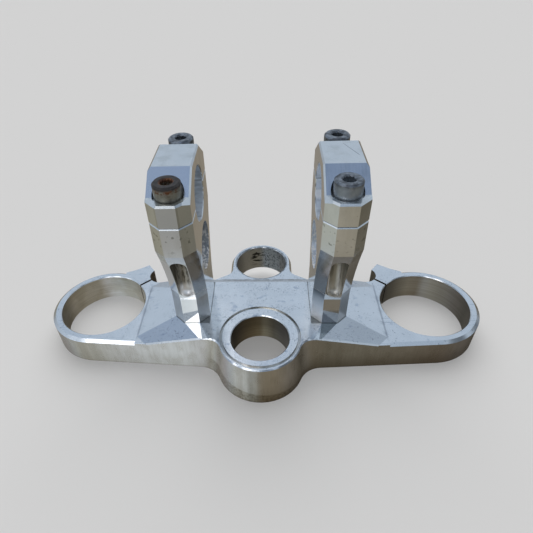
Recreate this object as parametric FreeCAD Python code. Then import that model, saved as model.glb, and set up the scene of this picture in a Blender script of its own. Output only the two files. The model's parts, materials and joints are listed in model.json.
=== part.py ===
import FreeCAD, Part
import math
import os

# Motorcycle top triple clamp with two bar risers, lengths in millimetres
# The origin lies on the steering stem axis, level with the flat underside
# +X runs to the rider's right, +Y forward to the lock ring, +Z up
# Front means towards the lock ring, rear towards the rider

V = FreeCAD.Vector
UP = V(0, 0, 1)

# Fork clamp rings
fork_spacing = 207.0
fork_offset = 35.4
fork_bore = 54.0
ring_outer = 65.0
ring_height = 18.5
ring_bevel = 2.0
ring_bevel_drop = 1.5
ring_bevel_end = 75.2
bore_bevel = 0.5

# Raised centre of the plate
centre_height = 26.4
facet_fall = 1.0 / 3.0
wall_slope = 0.062
front_line_x = 30.5
front_line_y = 51.3
front_corner_x = 70.8
front_corner_y = 56.2
edge_break = 0.7

# Steering stem boss
stem_bore = 33.5
boss_radius = 24.0
boss_fillet = 8.0
foot_radius = 26.0
foot_fillet = 14.0
groove_outer = 47.0
groove_inner = 43.6
groove_depth = 1.2
groove_shift = 1.1
recess_bore = 48.0
recess_depth = 8.2

# Ignition lock ring
lock_y = 69.8
lock_bore = 33.8
lock_outer = 41.2
lock_top = 25.2
lock_bottom = 6.5
lock_fillet = 6.0
lock_flare_angle = 30.0
lock_flare_x = 33.3
lock_bevel = 1.4
lock_bevel_drop = 2.4
tab_start_y = 56.5

# Clamp ear, slit and relief notch
slit_angle = 41.4
slit_width = 1.5
slit_length = 8.6
notch_x = 70.9
notch_y = 63.7
notch_radius = 7.5
ear_front_x = 96.0
ear_front_y = 66.9
ear_mid_x = 89.0
ear_mid_y = 70.0
ear_tip_x = 81.4
ear_tip_y = 75.0
ear_nose_x = 76.4
ear_nose_y = 68.7

# Pinch screws, M6 socket head
pinch_reach = 4.2
pinch_thread = 6.0
pinch_tap = 6.1
pinch_clear = 6.4
pinch_head = 10.0
pinch_head_height = 6.0
pinch_seat = 10.3
pinch_length = 20.0
pinch_counterbore = 10.6

# Bar risers
riser_inner = 30.2
riser_thickness = 20.8
riser_bevel = 5.8
bar_y = 29.2
foot_half = 18.3
head_half = 32.2
foot_rise = 19.2
waist_rise = 60.4
waist_sag = 1.5
bar_rise = 77.0
bar_bore = 28.6
bar_bevel = 0.45
relief_rise = 44.2
relief_bore = 27.2
split_bevel = 0.75
slot_width = 8.6
slot_low_rise = 22.0
slot_high_rise = 54.6
slot_reach = 19.8

# Bar caps, heights counted from the bar axis
cap_height = 20.8
cap_flat_rear = 10.9
cap_flat_front = 13.5
ledge_height = 11.9
ledge_length = 8.2
front_lift = 1.4
cap_under_bevel = 0.35
cap_inner_bevel = 0.8
cap_outer_bevel = 1.3
cap_ledge_bevel = 0.9

# Cap screws, M8 socket head
screw_thread = 8.0
screw_inset = 9.7
screw_tap = 8.1
screw_clear = 8.6
screw_head = 13.3
screw_head_height = 8.0
seat_drop = 0.6
seat_bore = 15.2
screw_length = 30.0
socket_across = 6.0
socket_depth = 4.5

# Riser mounting screws, driven from below
mount_reach = 9.5
mount_seat = 10.0
mount_head = 13.0
mount_head_height = 8.0
mount_counterbore = 14.0
mount_clear = 8.6
mount_length = 32.0

# Places that follow from the lengths above
riser_mid = riser_inner + riser_thickness / 2.0
fork_x = fork_spacing / 2.0
foot_top = centre_height + foot_rise
waist_top = centre_height + waist_rise
bar_z = centre_height + bar_rise
relief_z = centre_height + relief_rise
slot_low = centre_height + slot_low_rise
slot_high = centre_height + slot_high_rise
slot_floor_y = bar_y - slot_reach
cap_top = bar_z + cap_height
flat_rear_y = bar_y - cap_flat_rear
flat_front_y = bar_y + cap_flat_front
cap_ledge = bar_z + ledge_height
ledge_half = head_half - ledge_length
screw_reach = head_half - screw_inset
screw_seat = cap_ledge - seat_drop


def prism(points, low, high):
    """Closed outline from plan points, standing between two heights."""
    corners = [V(x, y, low) for x, y in points]
    wire = Part.makePolygon(corners + [corners[0]])
    return Part.Face(wire).extrude(V(0, 0, high - low))


def cylinder(radius, low, high, x, y):
    """Upright cylinder between two heights."""
    return Part.makeCylinder(radius, high - low, V(x, y, low), UP)


def cone(radius_low, radius_high, low, high, x, y):
    """Upright cone between two heights."""
    return Part.makeCone(radius_low, radius_high, high - low, V(x, y, low), UP)


def under_plane(point, normal):
    """Large block that fills the side of a plane its normal points away from."""
    block = Part.makeBox(700, 700, 350, V(-350, -350, -350))
    turn = FreeCAD.Rotation(UP, normal)
    block.Placement = FreeCAD.Placement(point, turn)
    return block


def mirrored(shape):
    """The same solid on the other side of the middle plane."""
    return shape.mirror(V(0, 0, 0), V(1, 0, 0))


def wall_point():
    """Plan point where the straight rear wall leaves the right fork ring."""
    length = math.hypot(1.0, wall_slope)
    radius = ring_outer / 2.0
    return fork_x + radius * wall_slope / length, fork_offset - radius / length


def wall_y(x):
    """Plan height of the straight rear wall at a distance from the middle."""
    start_x, start_y = wall_point()
    return start_y + wall_slope * (x - start_x)


def blend_centre(boss, blend):
    """Centre of the arc that rounds the corner between the wall and the boss.

    It lies one blend radius behind the wall and one blend radius
    outside the boss.
    """
    length = math.hypot(1.0, wall_slope)
    base_x = wall_slope / length * blend
    base_y = wall_y(0.0) - blend / length
    along_x = 1.0 / length
    along_y = wall_slope / length
    half = base_x * along_x + base_y * along_y
    rest = base_x ** 2 + base_y ** 2 - (boss + blend) ** 2
    step = -half + math.sqrt(half ** 2 - rest)
    return base_x + along_x * step, base_y + along_y * step


def blend_arc(boss, blend):
    """Start, middle and end of the rounding arc, right side."""
    length = math.hypot(1.0, wall_slope)
    x, y = blend_centre(boss, blend)
    touch_wall = (x - wall_slope / length * blend, y + blend / length)
    share = boss / (boss + blend)
    touch_boss = (x * share, y * share)
    middle = ((touch_wall[0] + touch_boss[0]) / 2.0, (touch_wall[1] + touch_boss[1]) / 2.0)
    reach = math.hypot(middle[0] - x, middle[1] - y)
    on_arc = (x + (middle[0] - x) * blend / reach, y + (middle[1] - y) * blend / reach)
    return touch_wall, on_arc, touch_boss


def rear_outline(boss, blend, low):
    """Plan outline of arms and stem boss at one height."""
    touch, on_arc, boss_touch = blend_arc(boss, blend)
    outer = wall_point()

    def at(point, side):
        return V(side * point[0], point[1], low)

    corners = [
        at(outer, -1),
        V(-fork_x, fork_offset, low),
        V(-front_corner_x, front_corner_y, low),
        V(-front_line_x, front_line_y, low),
        V(front_line_x, front_line_y, low),
        V(front_corner_x, front_corner_y, low),
        V(fork_x, fork_offset, low),
        at(outer, 1),
    ]
    edges = [
        Part.makeLine(at(outer, 1), at(touch, 1)),
        Part.Arc(at(touch, 1), at(on_arc, 1), at(boss_touch, 1)).toShape(),
        Part.Arc(at(boss_touch, 1), V(0, -boss, low), at(boss_touch, -1)).toShape(),
        Part.Arc(at(boss_touch, -1), at(on_arc, -1), at(touch, -1)).toShape(),
        Part.makeLine(at(touch, -1), at(outer, -1)),
    ]
    for first, second in zip(corners, corners[1:]):
        edges.append(Part.makeLine(first, second))
    return Part.Wire(Part.__sortEdges__(edges))


def boss_outline(boss, blend, low):
    """Plan outline of the stem boss with its soft corners, closed inside the plate."""
    touch, on_arc, boss_touch = blend_arc(boss, blend)
    inside = (touch[0], touch[1] + boss / 2.0)

    def at(point, side):
        return V(side * point[0], point[1], low)

    return Part.Wire([
        Part.Arc(at(touch, 1), at(on_arc, 1), at(boss_touch, 1)).toShape(),
        Part.Arc(at(boss_touch, 1), V(0, -boss, low), at(boss_touch, -1)).toShape(),
        Part.Arc(at(boss_touch, -1), at(on_arc, -1), at(touch, -1)).toShape(),
        Part.makeLine(at(touch, -1), at(inside, -1)),
        Part.makeLine(at(inside, -1), at(inside, 1)),
        Part.makeLine(at(inside, 1), at(touch, 1)),
    ])


def rear_body(boss, blend, low, high):
    """Arms and stem boss between two heights."""
    return Part.Face(rear_outline(boss, blend, low)).extrude(V(0, 0, high - low))


def lock_tab():
    """Flat tab with the ignition lock ring, its flanks flared towards the plate."""
    radius = lock_outer / 2.0
    low = lock_bottom
    turn = math.radians(90.0 - lock_flare_angle)
    trim = lock_fillet * math.tan(turn / 2.0)
    slope = math.radians(lock_flare_angle)
    corner_y = front_line_y + (lock_flare_x - radius) * math.tan(slope)
    side = V(radius, corner_y + trim, low)
    foot = V(radius + trim * math.cos(slope), corner_y - trim * math.sin(slope), low)
    centre = V(radius + lock_fillet, side.y, low)
    toward = V(radius, corner_y, low) - centre
    middle = centre + toward * (lock_fillet / toward.Length)
    root = V(lock_flare_x, front_line_y, low)
    inside = V(lock_flare_x, front_line_y - 12.0, low)

    def flip(point):
        return V(-point.x, point.y, point.z)

    edges = [
        Part.makeLine(inside, root),
        Part.makeLine(root, foot),
        Part.Arc(foot, middle, side).toShape(),
        Part.makeLine(side, V(radius, lock_y, low)),
        Part.Arc(V(radius, lock_y, low), V(0, lock_y + radius, low), V(-radius, lock_y, low)).toShape(),
        Part.makeLine(V(-radius, lock_y, low), flip(side)),
        Part.Arc(flip(side), flip(middle), flip(foot)).toShape(),
        Part.makeLine(flip(foot), flip(root)),
        Part.makeLine(flip(root), flip(inside)),
        Part.makeLine(flip(inside), inside),
    ]
    wire = Part.Wire(Part.__sortEdges__(edges))
    tab = Part.Face(wire).extrude(V(0, 0, lock_top - low))
    rim = [
        edge for edge in tab.Edges
        if abs(edge.BoundBox.ZMin - lock_top) < 1e-6 and edge.BoundBox.YMax > front_line_y + 0.01
        and edge.BoundBox.YMin > front_line_y - 0.01
    ]
    return tab.makeChamfer(lock_bevel_drop, lock_bevel, rim)


def raised_centre():
    """Raised middle of the plate with its flat facets and the flank of the boss.

    The flank leans from a wide foot with soft corners to the narrow top.
    """
    shoulder = centre_height - edge_break
    wide = boss_outline(foot_radius, foot_fillet, 0.0)
    narrow = boss_outline(boss_radius, boss_fillet, shoulder)
    flank = Part.makeLoft([wide, narrow], True, True)
    body = rear_body(boss_radius, boss_fillet, 0, centre_height).fuse(flank)
    foot_rear = bar_y - foot_half
    foot_front = bar_y + foot_half
    outer = riser_inner + riser_thickness
    side_normal = V(facet_fall, 0, 1)
    rear_normal = V(facet_fall * math.sqrt(0.5), -facet_fall * math.sqrt(0.5), 1)
    front_normal = V(facet_fall * math.sqrt(0.5), facet_fall * math.sqrt(0.5), 1)
    planes = [
        (V(outer, 0, centre_height), side_normal),
        (V(outer, foot_rear + riser_bevel, centre_height), rear_normal),
        (V(outer, foot_front - riser_bevel, centre_height), front_normal),
    ]
    for point, normal in planes:
        body = body.common(under_plane(point, normal))
        left = V(-normal.x, normal.y, normal.z)
        body = body.common(under_plane(V(-point.x, point.y, point.z), left))
    body = body.common(under_plane(V(0, foot_front, centre_height), V(0, facet_fall, 1)))
    return body


def corner_dip():
    """Shallow dip between a riser foot and the rear edge, right side."""
    top = centre_height
    high = top + 2.0
    outer = (riser_inner + riser_thickness - riser_bevel, bar_y - foot_half, top)
    inner = (riser_inner + riser_bevel, bar_y - foot_half, top)
    low = (32.6, -5.5, top - 0.62)
    calm = (23.6, -8.5, top)
    def lift(point):
        return (point[0], point[1], high)
    faces = [
        (outer, low, inner),
        (inner, low, calm),
        (lift(outer), lift(inner), lift(calm), lift(low)),
        (outer, inner, lift(inner), lift(outer)),
        (inner, calm, lift(calm), lift(inner)),
        (calm, low, lift(low), lift(calm)),
        (low, outer, lift(outer), lift(low)),
    ]
    made = []
    for face in faces:
        corners = [V(*point) for point in face]
        made.append(Part.Face(Part.makePolygon(corners + [corners[0]])))
    solid = Part.Solid(Part.Shell(made))
    if solid.Volume < 0:
        solid.reverse()
    return solid


def slit_frame():
    """Start, run and cross directions of the right clamp slit, seen in plan."""
    angle = math.radians(180.0 - slit_angle)
    run = V(math.cos(angle), math.sin(angle), 0)
    cross = V(math.sin(math.radians(slit_angle)), math.cos(math.radians(slit_angle)), 0)
    return V(fork_x, fork_offset, 0), run, cross


def ring_and_ear():
    """Right fork ring with its clamp ear, before the bore is cut."""
    radius = ring_outer / 2.0
    shoulder = ring_height - ring_bevel_drop
    ring = cylinder(radius, 0, shoulder, fork_x, fork_offset)
    ring = ring.fuse(cone(radius, radius - ring_bevel, shoulder, ring_height, fork_x, fork_offset))
    ear = prism(
        [
            (fork_x, fork_offset),
            (ear_front_x, ear_front_y),
            (ear_mid_x, ear_mid_y),
            (ear_tip_x, ear_tip_y),
            (ear_nose_x, ear_nose_y),
            (front_corner_x, front_corner_y),
            (front_corner_x, fork_offset),
        ],
        0,
        ring_height,
    )
    return ring.fuse(ear)


def edge_wedge(start, end, side_normal, top_normal, side_size, top_size):
    """Cutting wedge that bevels the straight edge between two points."""
    side_normal = V(side_normal).normalize()
    top_normal = V(top_normal).normalize()
    share = side_normal.dot(top_normal)
    down = (top_normal * -1 + side_normal * share).normalize()
    inward = (side_normal * -1 + top_normal * share).normalize()
    low = start + down * side_size
    high = start + inward * top_size
    line = high - low
    corners = [low - line * 0.6, high + line * 0.6, start + (side_normal + top_normal) * (side_size + top_size)]
    return Part.Face(Part.makePolygon(corners + [corners[0]])).extrude(end - start)


def rear_edge_cuts():
    """Bevels along the top rear edge of the right arm, fillet and boss."""
    length = math.hypot(1.0, wall_slope)
    wall_normal = V(wall_slope / length, -1.0 / length, 0)
    start_x, start_y = wall_point()
    cuts = []
    start = V(start_x, start_y, ring_height)
    end = V(ring_bevel_end, wall_y(ring_bevel_end), ring_height)
    cuts.append(edge_wedge(start, end, wall_normal, UP, ring_bevel_drop, ring_bevel))

    outer = riser_inner + riser_thickness
    base = outer - (bar_y - foot_half + riser_bevel) + wall_y(0.0)
    fall = facet_fall * math.sqrt(0.5)
    high_x = base / (1.0 - wall_slope)
    low_x = (base + (centre_height - ring_height) / fall) / (1.0 - wall_slope)
    high = V(high_x, wall_y(high_x), centre_height)
    low = V(low_x, wall_y(low_x), ring_height)
    cuts.append(edge_wedge(low, high, wall_normal, V(fall, -fall, 1), edge_break, edge_break))

    touch, on_arc, boss_touch = blend_arc(boss_radius, boss_fillet)
    x, y = blend_centre(boss_radius, boss_fillet)
    cuts.append(edge_wedge(high, V(touch[0], touch[1], centre_height), wall_normal, UP, edge_break, edge_break))
    low_z = centre_height - edge_break - 1.0
    flare = cone(boss_fillet - 1.0, boss_fillet + edge_break + 1.0, low_z, centre_height + 1.0, x, y)
    sector = prism([(x, y), touch, (touch[0] - 8.0, touch[1] + 8.0), (boss_touch[0] - 8.0, boss_touch[1] + 4.0),
                    boss_touch], low_z, centre_height + 1.0)
    cuts.append(flare.common(sector))
    rim = cylinder(boss_radius + 6.0, low_z, centre_height + 1.0, 0, 0)
    rim = rim.cut(cone(boss_radius + 1.0, boss_radius - edge_break - 1.0, low_z, centre_height + 1.0, 0, 0))
    far = (boss_touch[0] * 2.5, boss_touch[1] * 2.5)
    behind = -boss_radius * 2.5
    cuts.append(rim.common(prism([(0, 0), (0, behind), (far[0], behind), far], low_z, centre_height + 1.0)))
    return cuts


def plate():
    """The machined top yoke."""
    body = rear_body(boss_radius, boss_fillet, 0, ring_height)
    body = body.fuse(raised_centre())
    body = body.fuse(lock_tab())
    dip = corner_dip()
    body = body.cut(dip).cut(mirrored(dip))
    side = ring_and_ear()
    body = body.fuse(side).fuse(mirrored(side))
    tab_end_y = lock_y + lock_outer
    half = fork_x / 2.0
    under = prism([(-half, tab_start_y), (half, tab_start_y), (half, tab_end_y), (-half, tab_end_y)], 0, lock_bottom)
    body = body.cut(under)

    for side_sign in (1, -1):
        notch = cylinder(notch_radius, -1, ring_height + 12, notch_x, notch_y)
        bore = cylinder(fork_bore / 2.0, -1, ring_height + 12, fork_x, fork_offset)
        lip = cone(
            fork_bore / 2.0, fork_bore / 2.0 + bore_bevel, ring_height - bore_bevel, ring_height, fork_x, fork_offset
        )
        start, run, cross = slit_frame()
        inner = fork_bore / 2.0 - 2.0
        slit = Part.makeBox(slit_length + 2.6, slit_width, ring_height + 14, V(inner, -slit_width / 2.0, -1))
        slit.Placement = FreeCAD.Placement(start, FreeCAD.Rotation(UP, 180.0 - slit_angle))
        axis = start + run * (fork_bore / 2.0 + pinch_reach) + V(0, 0, ring_height / 2.0)
        head = Part.makeCylinder(pinch_counterbore / 2.0, 30, axis + cross * pinch_seat, cross)
        clear = Part.makeCylinder(pinch_clear / 2.0, pinch_seat + 1, axis, cross)
        tapped = Part.makeCylinder(pinch_tap / 2.0, pinch_length - pinch_seat + 2.0, axis, cross * -1)
        cuts = [notch, bore, lip, slit, head, clear, tapped] + rear_edge_cuts()
        for offset in (-mount_reach, mount_reach):
            y = bar_y + offset
            cuts.append(cylinder(mount_counterbore / 2.0, -1, mount_seat, riser_mid, y))
            cuts.append(cylinder(mount_clear / 2.0, -1, centre_height + 1, riser_mid, y))
        for cut in cuts:
            body = body.cut(cut if side_sign > 0 else mirrored(cut))

    body = body.cut(cylinder(stem_bore / 2.0, -1, centre_height + 1, 0, 0))
    body = body.cut(
        cone(stem_bore / 2.0, stem_bore / 2.0 + bore_bevel, centre_height - bore_bevel, centre_height, 0, 0)
    )
    body = body.cut(cylinder(recess_bore / 2.0, -1, recess_depth, 0, 0))
    floor = centre_height - groove_depth
    groove = cylinder(groove_outer / 2.0, floor, centre_height + 1, 0, groove_shift)
    groove = groove.cut(cylinder(groove_inner / 2.0, floor - 1, centre_height + 2, 0, groove_shift))
    body = body.cut(groove)

    body = body.cut(cylinder(lock_bore / 2.0, -1, lock_top + 1, 0, lock_y))
    body = body.cut(cone(lock_bore / 2.0, lock_bore / 2.0 + bore_bevel, lock_top - bore_bevel, lock_top, 0, lock_y))
    return body.removeSplitter()


def octagon(half):
    """Plan outline of a riser with all four corners cut at 45 degrees, right side."""
    inner = riser_inner
    outer = riser_inner + riser_thickness
    b = riser_bevel
    return [
        (inner, bar_y - half + b),
        (inner + b, bar_y - half),
        (outer - b, bar_y - half),
        (outer, bar_y - half + b),
        (outer, bar_y + half - b),
        (outer - b, bar_y + half),
        (inner + b, bar_y + half),
        (inner, bar_y + half - b),
    ]


def waist_half(shift_x, direction, sign):
    """Everything on the inner side of one curved face of the riser waist.

    The curve runs from the foot to the wide head and sags inward. The face is
    swept along the given plan direction, so one curve makes the flat face
    and both cut corners.
    """
    low = V(shift_x, bar_y + sign * foot_half, foot_top)
    high = V(shift_x, bar_y + sign * head_half, waist_top)
    chord = V(0, high.y - low.y, high.z - low.z)
    chord.normalize()
    inward = V(0, -sign * chord.z, abs(chord.y))
    if inward.y * sign > 0:
        inward = inward * -1
    middle = (low + high) * 0.5 + inward * waist_sag
    far = bar_y - sign * 150.0
    edges = [
        Part.Arc(low, middle, high).toShape(),
        Part.makeLine(high, V(shift_x, far, waist_top)),
        Part.makeLine(V(shift_x, far, waist_top), V(shift_x, far, foot_top)),
        Part.makeLine(V(shift_x, far, foot_top), low),
    ]
    face = Part.Face(Part.Wire(edges))
    return face.extrude(direction)


def riser_waist():
    """Curved waist between foot and head, right side."""
    inner = riser_inner
    outer = riser_inner + riser_thickness
    reach = 60.0
    body = Part.makeBox(riser_thickness, 300, waist_top - foot_top, V(inner, bar_y - 150, foot_top))
    for sign in (-1, 1):
        body = body.common(waist_half(inner - 20, V(reach, 0, 0), sign))
        start = inner + riser_bevel
        ahead = waist_half(start, V(reach, -sign * reach, 0), sign)
        back = waist_half(start, V(-reach, sign * reach, 0), sign)
        ahead.translate(V(outer - riser_bevel - start, 0, 0))
        back.translate(V(outer - riser_bevel - start, 0, 0))
        body = body.common(ahead.fuse(back))
        ahead = waist_half(start, V(-reach, -sign * reach, 0), sign)
        back = waist_half(start, V(reach, sign * reach, 0), sign)
        body = body.common(ahead.fuse(back))
    return body


def bar_hole():
    """Bar bore through riser and cap with its small edge bevels, right side."""
    inner = riser_inner
    outer = riser_inner + riser_thickness
    radius = bar_bore / 2.0
    hole = Part.makeCylinder(radius, riser_thickness + 2, V(inner - 1, bar_y, bar_z), V(1, 0, 0))
    near = Part.makeCone(radius + bar_bevel, radius, bar_bevel, V(inner, bar_y, bar_z), V(1, 0, 0))
    away = Part.makeCone(radius, radius + bar_bevel, bar_bevel, V(outer - bar_bevel, bar_y, bar_z), V(1, 0, 0))
    return hole.fuse(near).fuse(away)


def rear_slot():
    """Rounded slot in the riser rear, its floor hollowed like a trough, right side."""
    half = slot_width / 2.0
    rear = bar_y - head_half - 1
    block = Part.makeBox(
        slot_width,
        slot_floor_y - rear,
        slot_high - slot_low - slot_width,
        V(riser_mid - half, rear, slot_low + half),
    )
    for z in (slot_low + half, slot_high - half):
        end = Part.makeCylinder(half, slot_floor_y - rear, V(riser_mid, rear, z), V(0, 1, 0))
        block = block.fuse(end)
        block = block.fuse(Part.makeSphere(half, V(riser_mid, slot_floor_y, z)))
    trough = cylinder(half, slot_low + half, slot_high - half, riser_mid, slot_floor_y)
    return block.fuse(trough)


def riser():
    """Right bar riser."""
    foot = prism(octagon(foot_half), centre_height, foot_top)
    head = prism(octagon(head_half), waist_top, bar_z)
    top_edges = [
        edge for edge in head.Edges
        if abs(edge.Vertexes[0].Z - bar_z) < 1e-6 and abs(edge.Vertexes[1].Z - bar_z) < 1e-6
    ]
    head = head.makeChamfer(split_bevel, top_edges)
    body = foot.fuse(riser_waist()).fuse(head)
    body = body.cut(bar_hole())
    relief = Part.makeCylinder(relief_bore / 2.0, 60, V(riser_inner - 10, bar_y, relief_z), V(1, 0, 0))
    body = body.cut(relief)
    body = body.cut(rear_slot())
    for sign in (-1, 1):
        y = bar_y + sign * screw_reach
        deep = screw_seat - screw_length - 2.0
        body = body.cut(cylinder(screw_tap / 2.0, deep, bar_z + 1, riser_mid, y))
        y = bar_y + sign * mount_reach
        body = body.cut(cylinder(screw_tap / 2.0, centre_height - 1, mount_seat + mount_length + 2.0, riser_mid, y))
    return body.removeSplitter()


def cap():
    """Right bar cap."""
    inner = riser_inner
    outer = riser_inner + riser_thickness
    rear = bar_y - head_half
    front = bar_y + head_half
    front_ledge = cap_ledge + front_lift
    outline = [
        (rear - 1, bar_z),
        (rear - 1, cap_ledge),
        (bar_y - ledge_half, cap_ledge),
        (flat_rear_y, cap_top),
        (flat_front_y, cap_top),
        (bar_y + ledge_half, front_ledge),
        (front + 1, front_ledge),
        (front + 1, bar_z),
    ]
    profile = [V(inner - 1, y, z) for y, z in outline]
    side = Part.Face(Part.makePolygon(profile + [profile[0]])).extrude(V(riser_thickness + 2, 0, 0))
    block = prism(octagon(head_half), bar_z, cap_top + 1)
    low_edges = [
        edge for edge in block.Edges
        if abs(edge.Vertexes[0].Z - bar_z) < 1e-6 and abs(edge.Vertexes[1].Z - bar_z) < 1e-6
    ]
    block = block.makeChamfer(cap_under_bevel, low_edges)
    body = block.common(side)
    slope_rear = V(0, cap_ledge - cap_top, flat_rear_y - (bar_y - ledge_half)).normalize()
    slope_front = V(0, cap_top - front_ledge, bar_y + ledge_half - flat_front_y).normalize()
    tops = [
        (V(0, flat_rear_y, cap_top), UP),
        (V(0, flat_rear_y, cap_top), slope_rear),
        (V(0, flat_front_y, cap_top), slope_front),
    ]
    for point, normal in tops:
        near = V(inner, point.y, point.z) + normal * -cap_inner_bevel
        body = body.common(under_plane(near, normal + V(-1, 0, 0)))
    away = V(outer, 0, cap_top) + UP * -cap_outer_bevel
    body = body.common(under_plane(away, V(1, 0, 1)))
    drop = V(0, 0, -cap_ledge_bevel)
    for edge_y, ledge, sign in ((rear, cap_ledge, -1), (front, front_ledge, 1)):
        body = body.common(under_plane(V(0, edge_y, ledge) + drop, V(0, sign, 1)))
        corner = V(outer, edge_y - sign * riser_bevel, ledge) + drop
        body = body.common(under_plane(corner, V(math.sqrt(0.5), sign * math.sqrt(0.5), 1)))
        corner = V(inner, edge_y - sign * riser_bevel, ledge) + drop
        body = body.common(under_plane(corner, V(-math.sqrt(0.5), sign * math.sqrt(0.5), 1)))
    body = body.cut(bar_hole())
    for sign, lift in ((-1, 0.0), (1, front_lift)):
        y = bar_y + sign * screw_reach
        body = body.cut(cylinder(screw_clear / 2.0, bar_z - 1, cap_top, riser_mid, y))
        body = body.cut(cylinder(seat_bore / 2.0, screw_seat + lift, cap_top + 2, riser_mid, y))
    return body.removeSplitter()


def hexagon(across, low, high, x, y):
    """Upright six-sided socket."""
    radius = across / math.sqrt(3.0)
    points = []
    for step in range(6):
        angle = math.radians(60 * step)
        points.append((x + radius * math.cos(angle), y + radius * math.sin(angle)))
    return prism(points, low, high)


def socket_screw(thread, head, head_height, length, socket, depth):
    """Socket head screw standing on the origin, head up, shank down."""
    body = Part.makeCylinder(head / 2.0, head_height, V(0, 0, 0), UP)
    body = body.cut(
        Part.makeCylinder(head, 3, V(0, 0, head_height - 0.8), UP).cut(
            Part.makeCone(head / 2.0, head / 2.0 - 3.8, 3.8, V(0, 0, head_height - 0.8), UP)
        )
    )
    body = body.fuse(Part.makeCylinder(thread / 2.0, length, V(0, 0, -length), UP))
    tip = Part.makeCylinder(thread, 1.0, V(0, 0, -length), UP)
    tip = tip.cut(Part.makeCone(thread / 2.0 - 1.0, thread / 2.0, 1.0, V(0, 0, -length), UP))
    body = body.cut(tip)
    body = body.cut(hexagon(socket, head_height - depth, head_height + 1, 0, 0))
    lead = Part.makeCone(socket / 2.0, socket / math.sqrt(3.0) + 0.3, 0.6, V(0, 0, head_height - 0.6), UP)
    return body.cut(lead).removeSplitter()


def placed(shape, point, direction):
    """Screw moved to its seat with the head pointing along a direction."""
    turned = shape.copy()
    turned.Placement = FreeCAD.Placement(point, FreeCAD.Rotation(UP, direction))
    return turned


def build():
    """All pieces by name."""
    parts = {"yoke_plate": plate()}
    right_riser = riser()
    right_cap = cap()
    parts["riser_right"] = right_riser
    parts["riser_left"] = mirrored(right_riser)
    parts["bar_cap_right"] = right_cap
    parts["bar_cap_left"] = mirrored(right_cap)
    cap_screw = socket_screw(screw_thread, screw_head, screw_head_height, screw_length, socket_across, socket_depth)
    mount_screw = socket_screw(screw_thread, mount_head, mount_head_height, mount_length, socket_across, socket_depth)
    pinch_screw = socket_screw(pinch_thread, pinch_head, pinch_head_height, pinch_length, 5.0, 3.2)
    for side, x in (("left", -riser_mid), ("right", riser_mid)):
        for end, sign, lift in (("rear", -1, 0.0), ("front", 1, front_lift)):
            y = bar_y + sign * screw_reach
            parts["cap_screw_" + end + "_" + side] = placed(cap_screw, V(x, y, screw_seat + lift), UP)
            y = bar_y + sign * mount_reach
            parts["mount_screw_" + end + "_" + side] = placed(mount_screw, V(x, y, mount_seat), V(0, 0, -1))
    start, run, cross = slit_frame()
    seat = start + run * (fork_bore / 2.0 + pinch_reach) + V(0, 0, ring_height / 2.0) + cross * pinch_seat
    right_pinch = placed(pinch_screw, seat, cross)
    parts["pinch_screw_right"] = right_pinch
    parts["pinch_screw_left"] = mirrored(right_pinch)
    return parts


os.makedirs("parts", exist_ok=True)
for name, shape in build().items():
    solid = shape
    if len(shape.Solids) == 1:
        solid = shape.Solids[0]
    solid.exportStep("parts/" + name + ".step")
    print(name, "solids", len(shape.Solids), "valid", shape.isValid(), "volume", round(shape.Volume, 1))
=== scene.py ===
import json
import math
from collections import namedtuple

import bpy
import numpy as np
from mathutils import Euler, Matrix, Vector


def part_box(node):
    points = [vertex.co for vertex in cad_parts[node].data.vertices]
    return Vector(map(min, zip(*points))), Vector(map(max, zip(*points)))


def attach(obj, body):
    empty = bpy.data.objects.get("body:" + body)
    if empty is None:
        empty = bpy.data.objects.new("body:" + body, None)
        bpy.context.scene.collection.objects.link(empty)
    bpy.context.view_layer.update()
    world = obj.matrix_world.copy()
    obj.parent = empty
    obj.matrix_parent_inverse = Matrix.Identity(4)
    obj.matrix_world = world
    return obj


bl_info = {
    "name": "Motorcycle Triple Clamp",
    "version": (1, 0, 0),
    "blender": (4, 5, 0),
    "location": "View3D > Sidebar > Triple Clamp",
    "description": "Finishes for a machined top yoke with bar risers, and a small studio to show it in",
    "category": "Object",
}

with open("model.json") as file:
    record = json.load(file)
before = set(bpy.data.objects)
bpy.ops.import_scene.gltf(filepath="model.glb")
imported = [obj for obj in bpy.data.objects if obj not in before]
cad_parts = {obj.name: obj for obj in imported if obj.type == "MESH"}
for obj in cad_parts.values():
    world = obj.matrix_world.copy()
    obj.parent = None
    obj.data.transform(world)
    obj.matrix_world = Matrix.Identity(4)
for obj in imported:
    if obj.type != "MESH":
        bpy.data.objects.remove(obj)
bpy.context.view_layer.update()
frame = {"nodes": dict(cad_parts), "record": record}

# A round opening, and what a finish knows of the surface: side is how far a point is from the middle plane
Bore = namedtuple("Bore", "x y z radius")
Place = namedtuple("Place", "point x y z side normal_x normal_y normal_z top")


def bore(name):
    """Centre and radius of a bore in millimetres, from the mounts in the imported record."""
    mount = next(mount for mount in frame["record"]["mounts"] if mount["name"] == name)
    x, y, z = (1000.0 * metres for metres in mount["pos_m"])
    return Bore(x, y, z, mount["dims"]["r_mm"])


def box_mm(name):
    """Lowest and highest corner of a CAD node in millimetres."""
    low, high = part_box(name)
    return low * 1000.0, high * 1000.0


# Places that the frame gives, in millimetres, with the right one of each pair
FORK = bore("fork_clamp_right")
STEM = bore("stem_bore")
LOCK = bore("lock_bore")
BAR = bore("bar_clamp_right")
RISER_LOW, RISER_HIGH = box_mm("riser_right")
RISER_HALF = (RISER_HIGH.x - RISER_LOW.x) / 2.0
PLATE_TOP = RISER_LOW.z
CAP_TOP = box_mm("bar_cap_right")[1].z
SCREW_LOW, SCREW_HIGH = box_mm("cap_screw_rear_right")
SCREW_X, SCREW_Y = ((SCREW_LOW + SCREW_HIGH) / 2.0).xy
SCREW_TOP = SCREW_HIGH.z

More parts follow.
